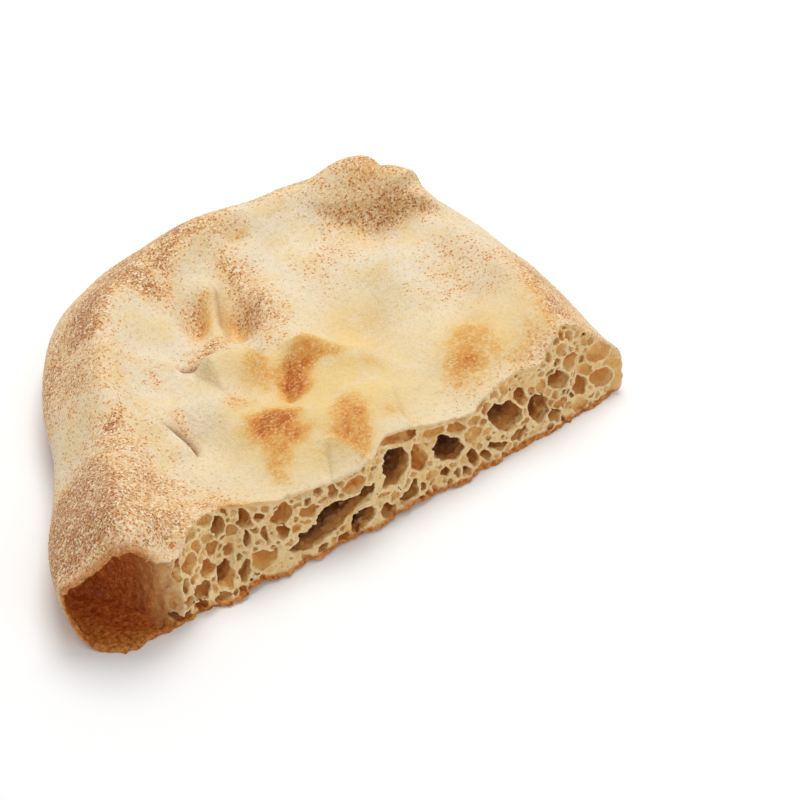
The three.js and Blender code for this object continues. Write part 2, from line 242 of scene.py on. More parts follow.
# How far the holes grow towards each other, how much that changes from place to place, and over what length
HOLE_GROWTH = 0.75
GROWTH_CHANGE = 0.7
GROWTH_LENGTH = 12.0
# Thickness of the walls between the holes, and of those beside the largest holes
HOLE_WALL = 0.55
LARGE_WALL = 1.0
# Roughness inside the holes: size, depth
HOLE_ROUGH = [(1.2, 0.25), (0.8, 0.12)]
# Bends in the walls between the holes: size, depth
HOLE_WARPS = [(4.0, 0.9), (1.5, 0.35)]
# Crust over the holes, and how far past its depth and from its wall a hole is worked out
HOLE_CRUST = 0.9
HOLE_PAST = 2.0
HOLE_FAR = 10.0
# How far the crumb between the holes falls back from their edges, and over what distance
FALL_BACK = 1.6
FALL_WIDTH = 1.1
# How many of the first holes are large and get painted shade inside, and how much
SHADED_LARGE_HOLES = 5
HOLE_SHADE_SHARE = 0.22

# Random draws: the seed, the number of values for a noise, and factors that spread its cells over them
SEED = 7
NOISE_VALUES = 4096
NOISE_FACTORS = (73856093, 19349663, 83492791)

# Sampling grid, the depth of what is filled in or emptied as a share of its step, and triangle budget
STEP = 0.34
FAR_STEP = 0.8
FILLED = 0.4
CRUMB_REACH = 24.0
MARGIN = 1.5
TOP_SAMPLES = (120, 80)
TRIANGLES = 196000
SHARP_ANGLE = 55.0
# Height of a wall's edge over its neighbours, as a share of their distance, that counts as a full ridge
RIDGE_FULL = 0.45

rng = np.random.default_rng(SEED)


def smooth(t):
    t = np.clip(t, 0.0, 1.0)
    return t * t * (3.0 - 2.0 * t)


def rise(value, start, width):
    """Goes smoothly from 0 at the start to 1 over the given width."""
    return smooth((value - start) / width)


def fall(value, start, width):
    return 1 - rise(value, start, width)


def closed_curve(points, steps=20):
    """Points along a closed Catmull-Rom curve."""
    p = np.asarray(points, float)
    before, after, beyond = np.roll(p, 1, 0), np.roll(p, -1, 0), np.roll(p, -2, 0)
    t = np.linspace(0, 1, steps, endpoint=False)[None, :, None]
    a, b, c, d = before[:, None], p[:, None], after[:, None], beyond[:, None]
    linear = (c - a) * t
    square = (2 * a - 5 * b + 4 * c - d) * t ** 2
    cube = (3 * b - a - 3 * c + d) * t ** 3
    return (0.5 * (2 * b + linear + square + cube)).reshape(-1, 2)


LOOP = closed_curve(OUTLINE)


def inside_distance(x, y):
    """Signed distance to the outline, positive inside."""
    nearest = np.full(np.shape(x), np.inf)
    inside = np.zeros(np.shape(x), bool)
    for a, b in zip(LOOP, np.roll(LOOP, -1, 0)):
        edge = b - a
        px, py = x - a[0], y - a[1]
        t = np.clip((px * edge[0] + py * edge[1]) / (edge @ edge), 0, 1)
        nearest = np.minimum(nearest, (px - t * edge[0]) ** 2 + (py - t * edge[1]) ** 2)
        if edge[1]:
            crosses = (a[1] <= y) != (b[1] <= y)
            inside ^= crosses & (x < a[0] + py * edge[0] / edge[1])
    return np.where(inside, 1, -1) * np.sqrt(nearest)


def bump(x, y, cx, cy, half_length, half_width, turn):
    """A soft round swelling of height 1."""
    a = math.radians(turn)
    u = (x - cx) * math.cos(a) + (y - cy) * math.sin(a)
    v = (y - cy) * math.cos(a) - (x - cx) * math.sin(a)
    return np.exp(-((u / half_length) ** 2) - (v / half_width) ** 2)


def sum_of_bumps(x, y, items):
    return sum(item[5] * bump(x, y, *item[:5]) for item in items)


def along_curve(x, y, start, control, end, steps=16):
    """Signed distance to a curve, positive to the left of its way, and the share of the way so far."""
    t = np.linspace(0, 1, steps + 1)[:, None]
    curve = (1 - t) ** 2 * np.array(start) + 2 * t * (1 - t) * np.array(control) + t ** 2 * np.array(end)
    nearest = np.full(np.shape(x), np.inf)
    share = np.zeros(np.shape(x))
    side = np.ones(np.shape(x))
    for i, (a, b) in enumerate(zip(curve[:-1], curve[1:])):
        way = b - a
        px, py = x - a[0], y - a[1]
        on_way = np.clip((px * way[0] + py * way[1]) / (way @ way), 0, 1)
        distance = np.hypot(px - on_way * way[0], py - on_way * way[1])
        closer = distance < nearest
        share = np.where(closer, (i + on_way) / steps, share)
        side = np.where(closer, np.where(way[0] * py - way[1] * px > 0, 1, -1), side)
        nearest = np.minimum(nearest, distance)
    return nearest * side, share


def fading(share):
    """Rises from 0 to 1 over the first part of a way, and falls again over the last."""
    return smooth(share / FADE) * smooth((1 - share) / FADE)


def crease_shape(x, y, start, control, end, half_width):
    distance, share = along_curve(x, y, start, control, end)
    return np.exp(-np.abs(distance) / half_width) * fading(share)


def fold_shape(x, y, start, control, end, steep, gentle):
    """A ridge of height 1 along a curve, with a steep left side and a gentle right side."""
    distance, share = along_curve(x, y, start, control, end)
    return np.exp(-((distance / np.where(distance > 0, steep, gentle)) ** 2)) * fading(share)


def undulation(x, y):
    u = x + UNDULATION_WARP * np.sin(y / UNDULATION_WARP_LENGTH)
    v = y + UNDULATION_WARP * np.sin(x / UNDULATION_WARP_LENGTH)
    return sum(
        height * np.sin(2 * np.pi * (u * math.cos(turn) + v * math.sin(turn)) / length + turn)
        for length, height, turn in UNDULATION
    )


def lattice_noise(x, y, z, size, salt=0):
    """Smooth noise from -1 to 1 with features of the given size."""
    table = np.random.default_rng(SEED + salt).uniform(-1, 1, NOISE_VALUES)
    cell, part = [], []
    for q in (x, y, z):
        scaled = np.asarray(q, float) / size
        whole = np.floor(scaled)
        cell.append(whole.astype(np.int64))
        part.append(smooth(scaled - whole))
    total = 0.0
    for i in (0, 1):
        for j in (0, 1):
            for k in (0, 1):
                a, b, c = ((q + n) * factor for q, n, factor in zip(cell, (i, j, k), NOISE_FACTORS))
                weight = [p if n else 1 - p for p, n in zip(part, (i, j, k))]
                total = total + table[(a ^ b ^ c) & (NOISE_VALUES - 1)] * weight[0] * weight[1] * weight[2]
    return total


def noises(places, items, salt):
    """The sum of noises of several sizes and depths."""
    return sum(depth * lattice_noise(*places, size, salt + 10 * i) for i, (size, depth) in enumerate(items))


def crown_height(x, y, inside):
    ridge = RIDGE_HEIGHT * np.exp(-(((inside - RIDGE_INSET) / RIDGE_WIDTH) ** 2))
    creases = sum(depth * crease_shape(x, y, *ends, width) for *ends, depth, width, _ in CREASES)
    folds = sum(
        height * fold_shape(x, y, *ends, steep, gentle) for *ends, height, steep, gentle in FOLDS
    )
    relief = sum_of_bumps(x, y, MOUNDS) - sum_of_bumps(x, y, DENTS) + folds - creases + undulation(x, y)
    return CROWN_HEIGHT + ridge + relief + noises((x, y, 0 * x), SKIN_RELIEF, 7)


def plan_of(x, y):
    """What the side profile needs to know over each place: distance inside, crown, rim and under side."""
    inside = inside_distance(x, y)
    sink = RIM_SINK * rise(inside, RIM_SINK_INSET, RIM_SINK_WIDTH)
    rim = RIM_HEIGHT - sink + sum_of_bumps(x, y, RIM_LIFTS)
    return inside, crown_height(x, y, inside), rim, sum_of_bumps(x, y, UNDER_LIFTS)


def loaf_field(plan, z, inset=0.0):
    """Negative inside the loaf, about in millimetres. The skin moves inwards by the inset."""
    inside, crown, rim, under = plan
    inside = inside - inset
    over_rim = np.maximum(crown - inset - rim, LEAST_RISE)
    drop = rim - under - inset
    top_edge = np.clip(1 - inside / RIM_TOP_WIDTH, 0, None)
    low_edge = np.clip(1 - inside / RIM_BOTTOM_WIDTH, 0, None)
    top = (np.hypot(top_edge, (z - rim) / over_rim) - 1) * over_rim
    low = (np.hypot(low_edge, (rim - z) / drop) - 1) * drop
    return np.where(z >= rim, top, low)


def break_y(x, z):
    """Where the broken side lies, at a place along it and a height."""
    bow = BREAK_BOW * np.clip(1 - ((x - BREAK_BOW_X) / BREAK_BOW_HALF) ** 2, 0, None)
    corner = CORNER_SETBACK * np.clip((CORNER_X - x) / CORNER_WIDTH, 0, None) ** 2
    lean = BREAK_LEAN + sum(change * np.exp(-(((x - at) / half) ** 2)) for at, half, change in LEAN_CHANGES)
    waves = sum(
        height * np.sin(2 * np.pi * x / length_x) * np.cos(2 * np.pi * z / length_z)
        for length_x, length_z, height in BREAK_WAVES
    )
    return BREAK_Y - bow + corner + lean * z + waves


def blister_field(plan, x, y, z):
    """Negative inside the burst blister, which keeps a crust all round."""
    rooms = []
    for centre, half in BLISTERS:
        offset = [(q - c) / h for q, c, h in zip((x, y, z), centre, half)]
        rooms.append((np.sqrt(sum(q ** 2 for q in offset)) - 1) * min(half))
    share = np.clip(0.5 + 0.5 * (rooms[1] - rooms[0]) / BLISTER_BLEND, 0, 1)
    room = rooms[1] + (rooms[0] - rooms[1]) * share - BLISTER_BLEND * share * (1 - share)
    return np.maximum(loaf_field(plan, z, BLISTER_CRUST), room)


def draw_holes():
    """The large holes of the crumb, and small ones drawn into the room between them."""
    holes = CRUMB_HOLES + SMALL_HOLES
    x_line = np.linspace(*HOLE_SPAN, HOLE_SAMPLES)
    y_line = break_y(x_line, CROWN_HEIGHT)
    inside, crown, rim, under = plan_of(x_line, y_line)
    edge = np.clip(1 - inside / RIM_TOP_WIDTH, 0, 1)
    ceiling = rim + (crown - rim) * np.sqrt(1 - edge ** 2)
    for smallest, largest, tries, wall in DRAWN_HOLES:
        for _ in range(tries):
            half = rng.uniform(smallest, largest)
            x = rng.uniform(*HOLE_SPAN)
            low = np.interp(x, x_line, under) + CRUST + half
            high = np.interp(x, x_line, ceiling) - CRUST - half
            z = rng.uniform(low, max(high, low))
            wide = half * rng.uniform(*DRAWN_WIDTH)
            tall = half * rng.uniform(*DRAWN_HEIGHT)
            depth = half * rng.uniform(*DRAWN_DEPTH)
            tilt = rng.uniform(*DRAWN_TILT)
            taken = np.array(holes)
            turn = np.radians(taken[:, 5])
            across, up = x - taken[:, 0], z - taken[:, 1]
            reach_u = (across * np.cos(turn) + up * np.sin(turn)) / (taken[:, 2] + half + wall)
            reach_v = (up * np.cos(turn) - across * np.sin(turn)) / (taken[:, 3] + half + wall)
            if (reach_u ** 2 + reach_v ** 2).min() > 1:
                holes.append((x, z, wide, tall, depth, tilt))
    return holes


def hole_field(hole, x, y, z):
    """Negative inside one hole of the crumb."""
    along, height, wide, tall, depth, tilt = hole
    a = math.radians(tilt)
    u = (x - along) * math.cos(a) + (z - height) * math.sin(a)
    v = (z - height) * math.cos(a) - (x - along) * math.sin(a)
    w = y - break_y(along, height)
    return (np.sqrt((u / wide) ** 2 + (v / tall) ** 2 + (w / depth) ** 2) - 1) * min(wide, tall)


def grid_axes():
    """Grid lines round the loaf, closer together near the break."""
    low, high = LOOP.min(0) - MARGIN, LOOP.max(0) + MARGIN
    across = np.linspace(low[0], high[0], TOP_SAMPLES[0])
    back = np.linspace(BREAK_Y, high[1], TOP_SAMPLES[1])
    top = plan_of(*np.meshgrid(across, back))[1].max() + MARGIN
    ys = [BREAK_Y - BREAK_BOW - 2 * MARGIN]
    while ys[-1] < high[1]:
        share = rise(ys[-1] - BREAK_Y, CRUMB_REACH, CRUMB_REACH)
        ys.append(ys[-1] + STEP + (FAR_STEP - STEP) * share)
    return np.arange(low[0], high[0], STEP), np.array(ys), np.arange(-MARGIN, top, STEP)


def connected(allowed, start):
    """The part of a grid of allowed places that can be reached from the start."""
    reached = start & allowed
    count = -1
    while count != reached.sum():
        count = reached.sum()
        for axis in range(3):
            done = np.moveaxis(reached, axis, 0)
            free = np.moveaxis(allowed, axis, 0)
            for i in range(1, len(done)):
                done[i] |= done[i - 1] & free[i]
            for i in range(len(done) - 2, -1, -1):
                done[i] |= done[i + 1] & free[i]
    return reached


def bread_field(xs, ys, zs, holes):
    """Negative in the bread, on a grid: the loaf, cut by the break, with its blister and holes."""
    x, y = np.meshgrid(xs, ys, indexing="ij")
    plan = [q[..., None] for q in plan_of(x, y)]
    field = loaf_field(plan, zs)
    i1, j1 = (int(np.searchsorted(line, end)) for line, end in zip((xs, ys), BLISTER_END))
    places = np.meshgrid(xs[:i1], ys[:j1], zs, indexing="ij")
    burst = blister_field([q[:i1, :j1] for q in plan], *places) + noises(places, BLISTER_ROUGH, 5)
    field[:i1, :j1] = np.maximum(field[:i1, :j1], -burst)
    near = int(np.searchsorted(ys, BREAK_Y + CRUMB_REACH))
    places = gx, gy, gz = np.meshgrid(xs, ys[:near], zs, indexing="ij")
    ragged = RAGGED_FOOT * np.exp(-((gz / RAGGED_HEIGHT) ** 2)) * lattice_noise(gx, gy, gz, RAGGED_SIZE, 8)
    face = break_y(gx, gz) + noises(places, TORN, 1) + ragged - gy
    warped = [q + noises(places, HOLE_WARPS, salt) for q, salt in zip(places, (2, 3, 4))]
    warp = sum(depth for _, depth in HOLE_WARPS)
    growth = HOLE_GROWTH * (1 + GROWTH_CHANGE * lattice_noise(gx, gy, gz, GROWTH_LENGTH, 9))
    nearest = np.full(gx.shape, HOLE_FAR)
    second = nearest.copy()
    large = nearest.copy()
    for i, hole in enumerate(holes):
        along, height, wide, tall, depth, _ = hole
        reach = max(wide, tall) + growth.max() * max(1, wide / tall) + warp + STEP
        i0, i1 = np.searchsorted(xs, (along - reach, along + reach))
        k0, k1 = np.searchsorted(zs, (height - reach, height + reach))
        j1 = np.searchsorted(ys[:near], break_y(along, height) + depth + HOLE_PAST)
        part = (slice(i0, i1), slice(0, j1), slice(k0, k1))
        here = hole_field(hole, *(q[part] for q in warped))
        second[part] = np.minimum(second[part], np.maximum(nearest[part], here))
        nearest[part] = np.minimum(nearest[part], here)
        if i < SHADED_LARGE_HOLES:
            large[part] = np.minimum(large[part], here)
    wall = LARGE_WALL + (HOLE_WALL - LARGE_WALL) * smooth(np.abs(large) / LARGE_WALL - 1)
    air = np.maximum(nearest - growth, (nearest - second + wall) / 2)
    air += noises(places, HOLE_ROUGH, 6)
    crumb_plan = [q[:, :near] for q in plan]
    depth = -loaf_field(crumb_plan, zs)
    face += FALL_BACK * rise(air, wall / 2, FALL_WIDTH) * smooth(depth / HOLE_CRUST - 1)
    air = np.maximum(air, loaf_field(crumb_plan, zs, HOLE_CRUST))
    field[:, :near] = np.maximum(field[:, :near], np.maximum(face, -air))
    return field


def without_pinholes(field):
    """Gaps of a single grid point, such as pinholes in thin walls, are closed."""
    solid = field < 0
    grown = solid.copy()
    for axis in range(3):
        whole, part = np.moveaxis(grown, axis, 0), np.moveaxis(solid, axis, 0)
        whole[1:] |= part[:-1]
        whole[:-1] |= part[1:]
    closed = grown.copy()
    for axis in range(3):
        whole, part = np.moveaxis(closed, axis, 0), np.moveaxis(grown, axis, 0)
        whole[1:] &= part[:-1]
        whole[:-1] &= part[1:]
    return np.where(closed & ~solid, -FILLED * STEP, field)


def one_closed_body(field, xs, ys, zs):
    """Loose scraps go, and hollows that the break doesn't open are filled."""
    solid = field < 0
    start = np.zeros_like(solid)
    start[np.abs(xs).argmin(), np.abs(ys).argmin(), np.abs(zs - RIM_HEIGHT).argmin()] = True
    body = connected(solid, start)
    outside = np.zeros_like(solid)
    outside[0] = True
    free = connected(~body, outside)
    field = np.where(solid & ~body, FILLED * STEP, field)
    return np.where((field >= 0) & ~free, -FILLED * STEP, field)


def surface_nets(field, axes):
    """Vertices and quads of the surface where a field on a grid of uneven steps changes sign."""
    negative = field < 0
    corners = [(i, j, k) for i in (0, 1) for j in (0, 1) for k in (0, 1)]
    shape = np.array(field.shape) - 1
    count = sum(
        negative[i:i + shape[0], j:j + shape[1], k:k + shape[2]].astype(np.int8) for i, j, k in corners
    )
    places = np.argwhere((count > 0) & (count < 8))
    number = np.full(shape, -1, np.int64)
    number[tuple(places.T)] = np.arange(len(places))
    total = np.zeros((len(places), 3))
    crossings = np.zeros((len(places), 1))
    for corner in corners:
        for axis in range(3):
            if corner[axis]:
                continue
            a = places + corner
            b = a.copy()
            b[:, axis] += 1
            fa, fb = field[tuple(a.T)], field[tuple(b.T)]
            crosses = ((fa < 0) != (fb < 0))[:, None]
            share = (fa / np.where(fa == fb, 1, fa - fb))[:, None]
            pa = np.stack([q[i] for q, i in zip(axes, a.T)], 1)
            pb = np.stack([q[i] for q, i in zip(axes, b.T)], 1)
            total += np.where(crosses, pa + (pb - pa) * share, 0)
            crossings += crosses
    quads = []
    for axis in range(3):
        u, v = (axis + 1) % 3, (axis + 2) % 3
        low = np.take(negative, range(shape[axis]), axis)
        high = np.take(negative, range(1, shape[axis] + 1), axis)
        edges = np.argwhere(low != high)
        within = (edges[:, u] > 0) & (edges[:, v] > 0)
        within &= (edges[:, u] < shape[u]) & (edges[:, v] < shape[v])
        edges = edges[within]
        ring = []
        for du, dv in ((1, 1), (0, 1), (0, 0), (1, 0)):
            cell = edges.copy()
            cell[:, u] -= du
            cell[:, v] -= dv
            ring.append(number[tuple(cell.T)])
        quad = np.stack(ring, 1)
        inward = ~low[tuple(edges.T)]
        quad[inward] = quad[inward][:, ::-1]
        quads.append(quad)
    return total / crossings, np.concatenate(quads)


def mesh_object(name, vertices, faces):
    mesh = bpy.data.meshes.new(name)
    mesh.vertices.add(len(vertices))
    mesh.vertices.foreach_set("co", ((np.asarray(vertices) - ORIGIN) * MM).ravel())
    sides = faces.shape[1]
    mesh.loops.add(faces.size)
    mesh.loops.foreach_set("vertex_index", faces.ravel())
    mesh.polygons.add(len(faces))
    mesh.polygons.foreach_set("loop_start", np.arange(0, faces.size, sides))
    mesh.polygons.foreach_set("use_smooth", np.ones(len(faces), bool))
    mesh.update(calc_edges=True)
    piece = bpy.data.objects.new(name, mesh)
    bpy.context.scene.collection.objects.link(piece)
    return piece


def thin_out(piece, triangles):
    """Keep the wanted number of triangles, most of them where the surface bends."""
    now = sum(len(p.vertices) - 2 for p in piece.data.polygons)
    thin = piece.modifiers.new("thin", "DECIMATE")
    thin.ratio = min(1.0, triangles / now)
    evaluated = piece.evaluated_get(bpy.context.evaluated_depsgraph_get())
    mesh = bpy.data.meshes.new_from_object(evaluated)
    old = piece.data
    piece.modifiers.clear()
    piece.data = mesh
    bpy.data.meshes.remove(old)


# Browned patches on the skin: x, y, half length, half width, turn in degrees, strength
TOASTED = [
    (-17.5, -36, 9, 6, 80, 1.1),
    (-13, -46, 4, 3, 0, 0.2),
    (-26.4, -48, 8, 4.5, 85, 0.5),
    (0.5, -47.5, 9, 5, 53, 0.85),
    (14, -52, 6, 5, 60, 0.25),
    (20, -31, 6, 2.5, -50, 0.3),
    (-4, -59, 5, 3, -84, 0.4),
    (2.5, -18.5, 9, 5.5, 50, 1.0),
    (14, -17.5, 6, 3, -45, 0.4),
    (-6, -10, 7, 4, 44, 0.45),
    (17, 37, 7, 4, 55, 0.6),
    (15, 16, 15, 6.5, 72, 0.72),
    (-2, 26, 7, 3, 55, 0.4),
    (-10, 39, 7, 4, -55, 0.6),
    (-37, 44, 11, 7, 34, 0.45),
    (-27, 42, 11, 6, 27, 0.35),
    (-6, 51, 13, 8, 23, 0.5),
    (8, 55, 11, 7, 17, 0.5),
    (19, 52, 8, 4, -7, 0.4),
    (-57, 28, 19, 4, 52, 0.35),
    (-72, -32, 26, 18, 45, 0.5),
    (-78, -50, 18, 16, 0, 0.3),
    (-68, -55, 9, 8, 0, 0.4),
    (-46, -57, 9, 4, -25, 0.4),
    (-56, -9, 8, 5, 40, 0.6),
    (-30, 12, 6, 3, 80, 0.35),
    (-58, -34, 7, 4, 77, 0.45),
    (-92, -34, 26, 7, 49, 0.6),
    (-87, -29, 16, 7, 55, 0.4),
    (-36, -11, 7, 3, 88, 0.45),
    (-51, -48, 7, 4, -8, 0.5),
    (-52, -37, 6, 3, 76, 0.35),
    (-19, -18, 5, 3, 28, 0.35),
    (70, 40, 18, 11, -40, 0.5),
    (71, 27.5, 14, 2.5, -38, 0.45),
    (28, 46, 5, 3, 64, 0.35),
    (70, -10, 20, 11, 60, 0.3),
    (88, -35, 20, 9, 70, 0.4),
    (47, -44, 14, 8, 35, 0.55),
    (66, -55, 16, 8, 10, 0.35),
    (-45, 26, 24, 11, 52, 0.3),
    (-3, 24, 9, 6, 55, 0.2),
    (6, 20, 10, 4, 60, 0.1),
    # These two, in the dent behind the flap, are browning that also paints the shade in that dent
    (-7, 12, 7, 4, -10, 0.6),
    (-12, 8, 5, 2, -30, 0.7),
    (48, 24, 14, 9, 30, 0.3),
    (55, 62, 16, 6, -5, 0.45),
]
# Browned band along the rim: strength, distance from the outline, half width, and where it is left pale
RIM_TOAST = 0.4
RIM_BAND = 11.0
RIM_BAND_HALF = 9.0
RIM_PALE = [(92, 12, 26, 18, 90), (-68, 0, 24, 16, 60)]

# Bare golden stretches with little flour, in the same way
GOLDEN = [
    (-6, -44, 34, 20, 0, 1.0),
    (6, -28, 24, 16, 30, 0.8),
    (-9, -5, 14, 9, -14, 0.8),
    (4, 22, 10, 14, -25, 0.7),
    (35, -5, 12, 17, -20, 0.8),
    (60, -40, 26, 18, 0, 0.8),
    (27, 46, 6, 4, 0, 0.5),
    (6, -16, 15, 8, 42, 0.8),
    (-19, -33, 12, 9, 79, 0.8),
    (74, 38, 18, 11, -40, 0.45),
    (-46, -57, 12, 5, -25, 0.5),
]

# Uneven edges of the patches: size, shift. Changes of their strength: size, least share, change
PATCH_WARPS = [(11.0, 3.0), (4.0, 1.5)]
PATCH_SIZE = 9.0
PATCH_LEAST = 0.75
PATCH_CHANGE = 0.5
# Width of the browning and painted shade along the creases, as a share of their half width
SEAM_SPREAD = 1.8

# Changes from one surface to the next, each as a start and a width. By depth under the skin
CRUMB_START = (0.3, 0.6)
HEAD_END = (0.6, 1.2)
# By distance behind the break
MOUTH_START = (-0.2, 0.8)
SINGED_END = (0.6, 3.0)
FOOT_END = (3.0, 3.0)
HOLE_SHADE_START = (0.4, 1.6)
# Depth behind the break at which the painted shade in the holes is darkest
PIT_SHADE_DEPTH = 12.0
# By distance from the wall of the blister or of a large hole
BLISTER_WALL = (0.8, 0.6)
LIP_REACH = (1.6, 1.2)
HOLE_SHADE_REACH = (0.6, 1.0)
# By height over the under side
FOOT_HEIGHT = (1.1, 1.2)
# By slope
UNDER_SLOPE = (0.1, 0.5)
# By place along the break
LIP_END = (-84.0, 8.0)
BLISTER_RIGHT = (-75.0, 4.0)
SINGED_RIGHT = (-82.0, 8.0)
PALE_START = (-82.0, 12.0)
# By place to the left, for the toasted left wall of the blister, and how much it is toasted
LEFT_WALL = (88.0, 5.0)
LEFT_WALL_TOAST = 0.6

# Flour and semolina grains that stick to the skin: how many, smallest and largest half size, unevenness,
# lift as a share of the half size, least share, share missing on bare stretches, slope, and tone
GRAINS = 9000
GRAIN_HALF = (0.1, 0.2)
GRAIN_UNEVEN = (0.7, 1.3)
GRAIN_LIFT = 0.4
GRAIN_LEAST = 0.03
GRAIN_BARE = 0.85
GRAIN_SLOPE = (-0.1, 0.4)
GRAIN_TONE = 0.25
GRAIN_TOAST = 0.55


def skin_masks(places, normals):
    """What covers each place of the bread, and where shade is painted in the crumb's holes and along the
    creases, as shares from 0 to 1.
    """
    x, y, z = places.T
    plan = plan_of(x, y)
    inside, _, _, under = plan
    depth = -loaf_field(plan, z)
    burst = blister_field(plan, x, y, z)
    behind = y - break_y(x, z)
    off_skin = rise(depth, *CRUMB_START)
    in_blister = fall(np.abs(burst), *BLISTER_WALL) * rise(behind, *MOUTH_START)
    lip = fall(burst, *LIP_REACH) * fall(x, *LIP_END)
    blister = off_skin * np.maximum(in_blister, lip) * fall(x, *BLISTER_RIGHT)
    patchy = 0.5 + 0.5 * lattice_noise(x, y, z, PATCH_SIZE, 20)
    u = x + noises((x, y, z), PATCH_WARPS, 21)
    v = y + noises((x, y, z), PATCH_WARPS, 22)
    pale = sum(bump(x, y, *item) for item in RIM_PALE)
    band = RIM_TOAST * (0.5 + patchy) * np.exp(-(((inside - RIM_BAND) / RIM_BAND_HALF) ** 2)) * (1 - pale)
    toast = (sum_of_bumps(u, v, TOASTED) + band) * (PATCH_LEAST + PATCH_CHANGE * patchy)
    # Brown along the creases, which also paints the shade in them
    seam_browning_and_shade = sum(tint * crease_shape(x, y, *ends, SEAM_SPREAD * width) for *ends, _, width, tint in CREASES)
    edge_of_lip = fall(behind, *SINGED_END) * fall(x, *SINGED_RIGHT)
    left_wall = LEFT_WALL_TOAST * blister * rise(-x, *LEFT_WALL)
    # Painted shade inside the large holes, on top of the painted shade that deepens behind the break
    large = np.min([hole_field(hole, x, y, z) for hole in CRUMB_HOLES[:SHADED_LARGE_HOLES]], 0)
    darkened = HOLE_SHADE_SHARE * fall(large, *HOLE_SHADE_REACH) * rise(behind, *HOLE_SHADE_START)
    return {
        "toast": np.clip(toast, 0, 1),
        "gold": np.clip(sum_of_bumps(u, v, GOLDEN), 0, 1),
        "seam_browning_and_shade": np.clip(seam_browning_and_shade, 0, 1),
        "crumb": off_skin * (1 - blister),
        "pit_shade": np.clip(behind / PIT_SHADE_DEPTH + darkened, 0, 1),
        "blister": blister,
        "pale_wall": rise(x, *PALE_START),
        "singed": np.maximum(edge_of_lip, left_wall),
        "under": rise(-normals[:, 2], *UNDER_SLOPE) * (1 - off_skin),
        "foot": fall(z - under, *FOOT_HEIGHT) * fall(behind, *FOOT_END),
        "head": fall(depth, *HEAD_END),
    }


def set_attributes(piece, values):
    for name, data in values.items():
        layer = piece.data.attributes.new(name, "FLOAT", "POINT")
        layer.data.foreach_set("value", np.ascontiguousarray(data, np.float32))


def arrays_of(piece):
    """Places in millimetres, normals and triangles of a piece."""
    mesh = piece.data
    mesh.calc_loop_triangles()
    places = np.empty(len(mesh.vertices) * 3, np.float32)
    normals = places.copy()
    triangles = np.empty(len(mesh.loop_triangles) * 3, np.int32)
    mesh.vertices.foreach_get("co", places)
    mesh.vertices.foreach_get("normal", normals)
    mesh.loop_triangles.foreach_get("vertices", triangles)
    return places.reshape(-1, 3) / MM + ORIGIN, normals.reshape(-1, 3), triangles.reshape(-1, 3)


def ridges(places, normals, triangles):
    """How sharply each place stands out from its neighbours, as a share from 0 to 1."""
    ends = np.concatenate([triangles[:, [i, (i + 1) % 3]] for i in range(3)])
    ends = np.concatenate([ends, ends[:, ::-1]])
    here, there = ends.T
    count = np.bincount(here, minlength=len(places))
    total = np.stack([np.bincount(here, places[there, i], len(places)) for i in range(3)], 1)
    offset = places - total / count[:, None]
    length = np.bincount(here, np.linalg.norm(places[here] - places[there], axis=1)) / count
    return smooth((offset * normals).sum(1) / length / RIDGE_FULL)


def make_bread():
    axes = grid_axes()
    field = one_closed_body(without_pinholes(bread_field(*axes, draw_holes())), *axes)
    bread = mesh_object("pinsa_bread", *surface_nets(field, axes))
    thin_out(bread, TRIANGLES)
    bread.data.set_sharp_from_angle(angle=math.radians(SHARP_ANGLE))
    places, normals, triangles = arrays_of(bread)
    set_attributes(bread, skin_masks(places, normals))
    # How far each place stands out from its neighbours, which paints a highlight on the edges of the crumb's
    # walls
    set_attributes(bread, {"ridge": ridges(places, normals, triangles)})
    bread.data.materials.append(baked_dough())
    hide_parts("pinsa")
    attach(bread, "root")
    return bread


def make_grains(bread):
    """Grains half sunk into the skin, thickest on the floured stretches of the top."""
    places, normals, triangles = arrays_of(bread)
    masks = skin_masks(places, normals)
    clear = (1 - masks["crumb"]) * (1 - masks["blister"]) * rise(normals[:, 2], *GRAIN_SLOPE)
    wanted = clear * (GRAIN_LEAST + masks["toast"] * (1 - GRAIN_BARE * masks["gold"]))
    a, b, c = (places[triangles[:, i]] for i in range(3))
    weight = np.linalg.norm(np.cross(b - a, c - a), axis=1) * wanted[triangles].min(1)
    chosen = rng.choice(len(triangles), GRAINS, p=weight / weight.sum())
    shares = rng.uniform(size=(2, GRAINS, 1))
    u, v = np.where(shares.sum(0) > 1, 1 - shares, shares)
    middle = a[chosen] + u * (b - a)[chosen] + v * (c - a)[chosen]
    half = rng.uniform(*GRAIN_HALF, (GRAINS, 1))
    middle += normals[triangles[chosen, 0]] * half * GRAIN_LIFT
    corners = np.array([(1, 0, 0), (-1, 0, 0), (0, 1, 0), (0, -1, 0), (0, 0, 1), (0, 0, -1)], float)
    faces = np.array([
        (0, 2, 4), (2, 1, 4), (1, 3, 4), (3, 0, 4), (2, 0, 5), (1, 2, 5), (3, 1, 5), (0, 3, 5),
    ])
    turns = np.linalg.qr(rng.normal(size=(GRAINS, 3, 3)))[0]
    turns[:, :, 0] *= np.sign(np.linalg.det(turns))[:, None]
    sizes = half[:, None] * rng.uniform(*GRAIN_UNEVEN, (GRAINS, len(corners), 1))
    points = middle[:, None] + np.einsum("nij,kj->nki", turns, corners) * sizes
    numbers = faces[None] + len(corners) * np.arange(GRAINS)[:, None, None]
    grains = mesh_object("pinsa_grains", points.reshape(-1, 3), numbers.reshape(-1, 3))
    toast = masks["toast"][triangles[chosen, 0]]
    tone = rng.uniform(0, 1, GRAINS) * (GRAIN_TONE + GRAIN_TOAST * toast)
    set_attributes(grains, {"tone": np.repeat(tone, len(corners))})
    grains.data.materials.append(semolina())
    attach(grains, "root")


def colour(red, green, blue):
    """A colour given as it looks on a screen, from 0 to 255."""
    return tuple(((v / 255 + 0.055) / 1.055) ** 2.4 for v in (red, green, blue)) + (1.0,)


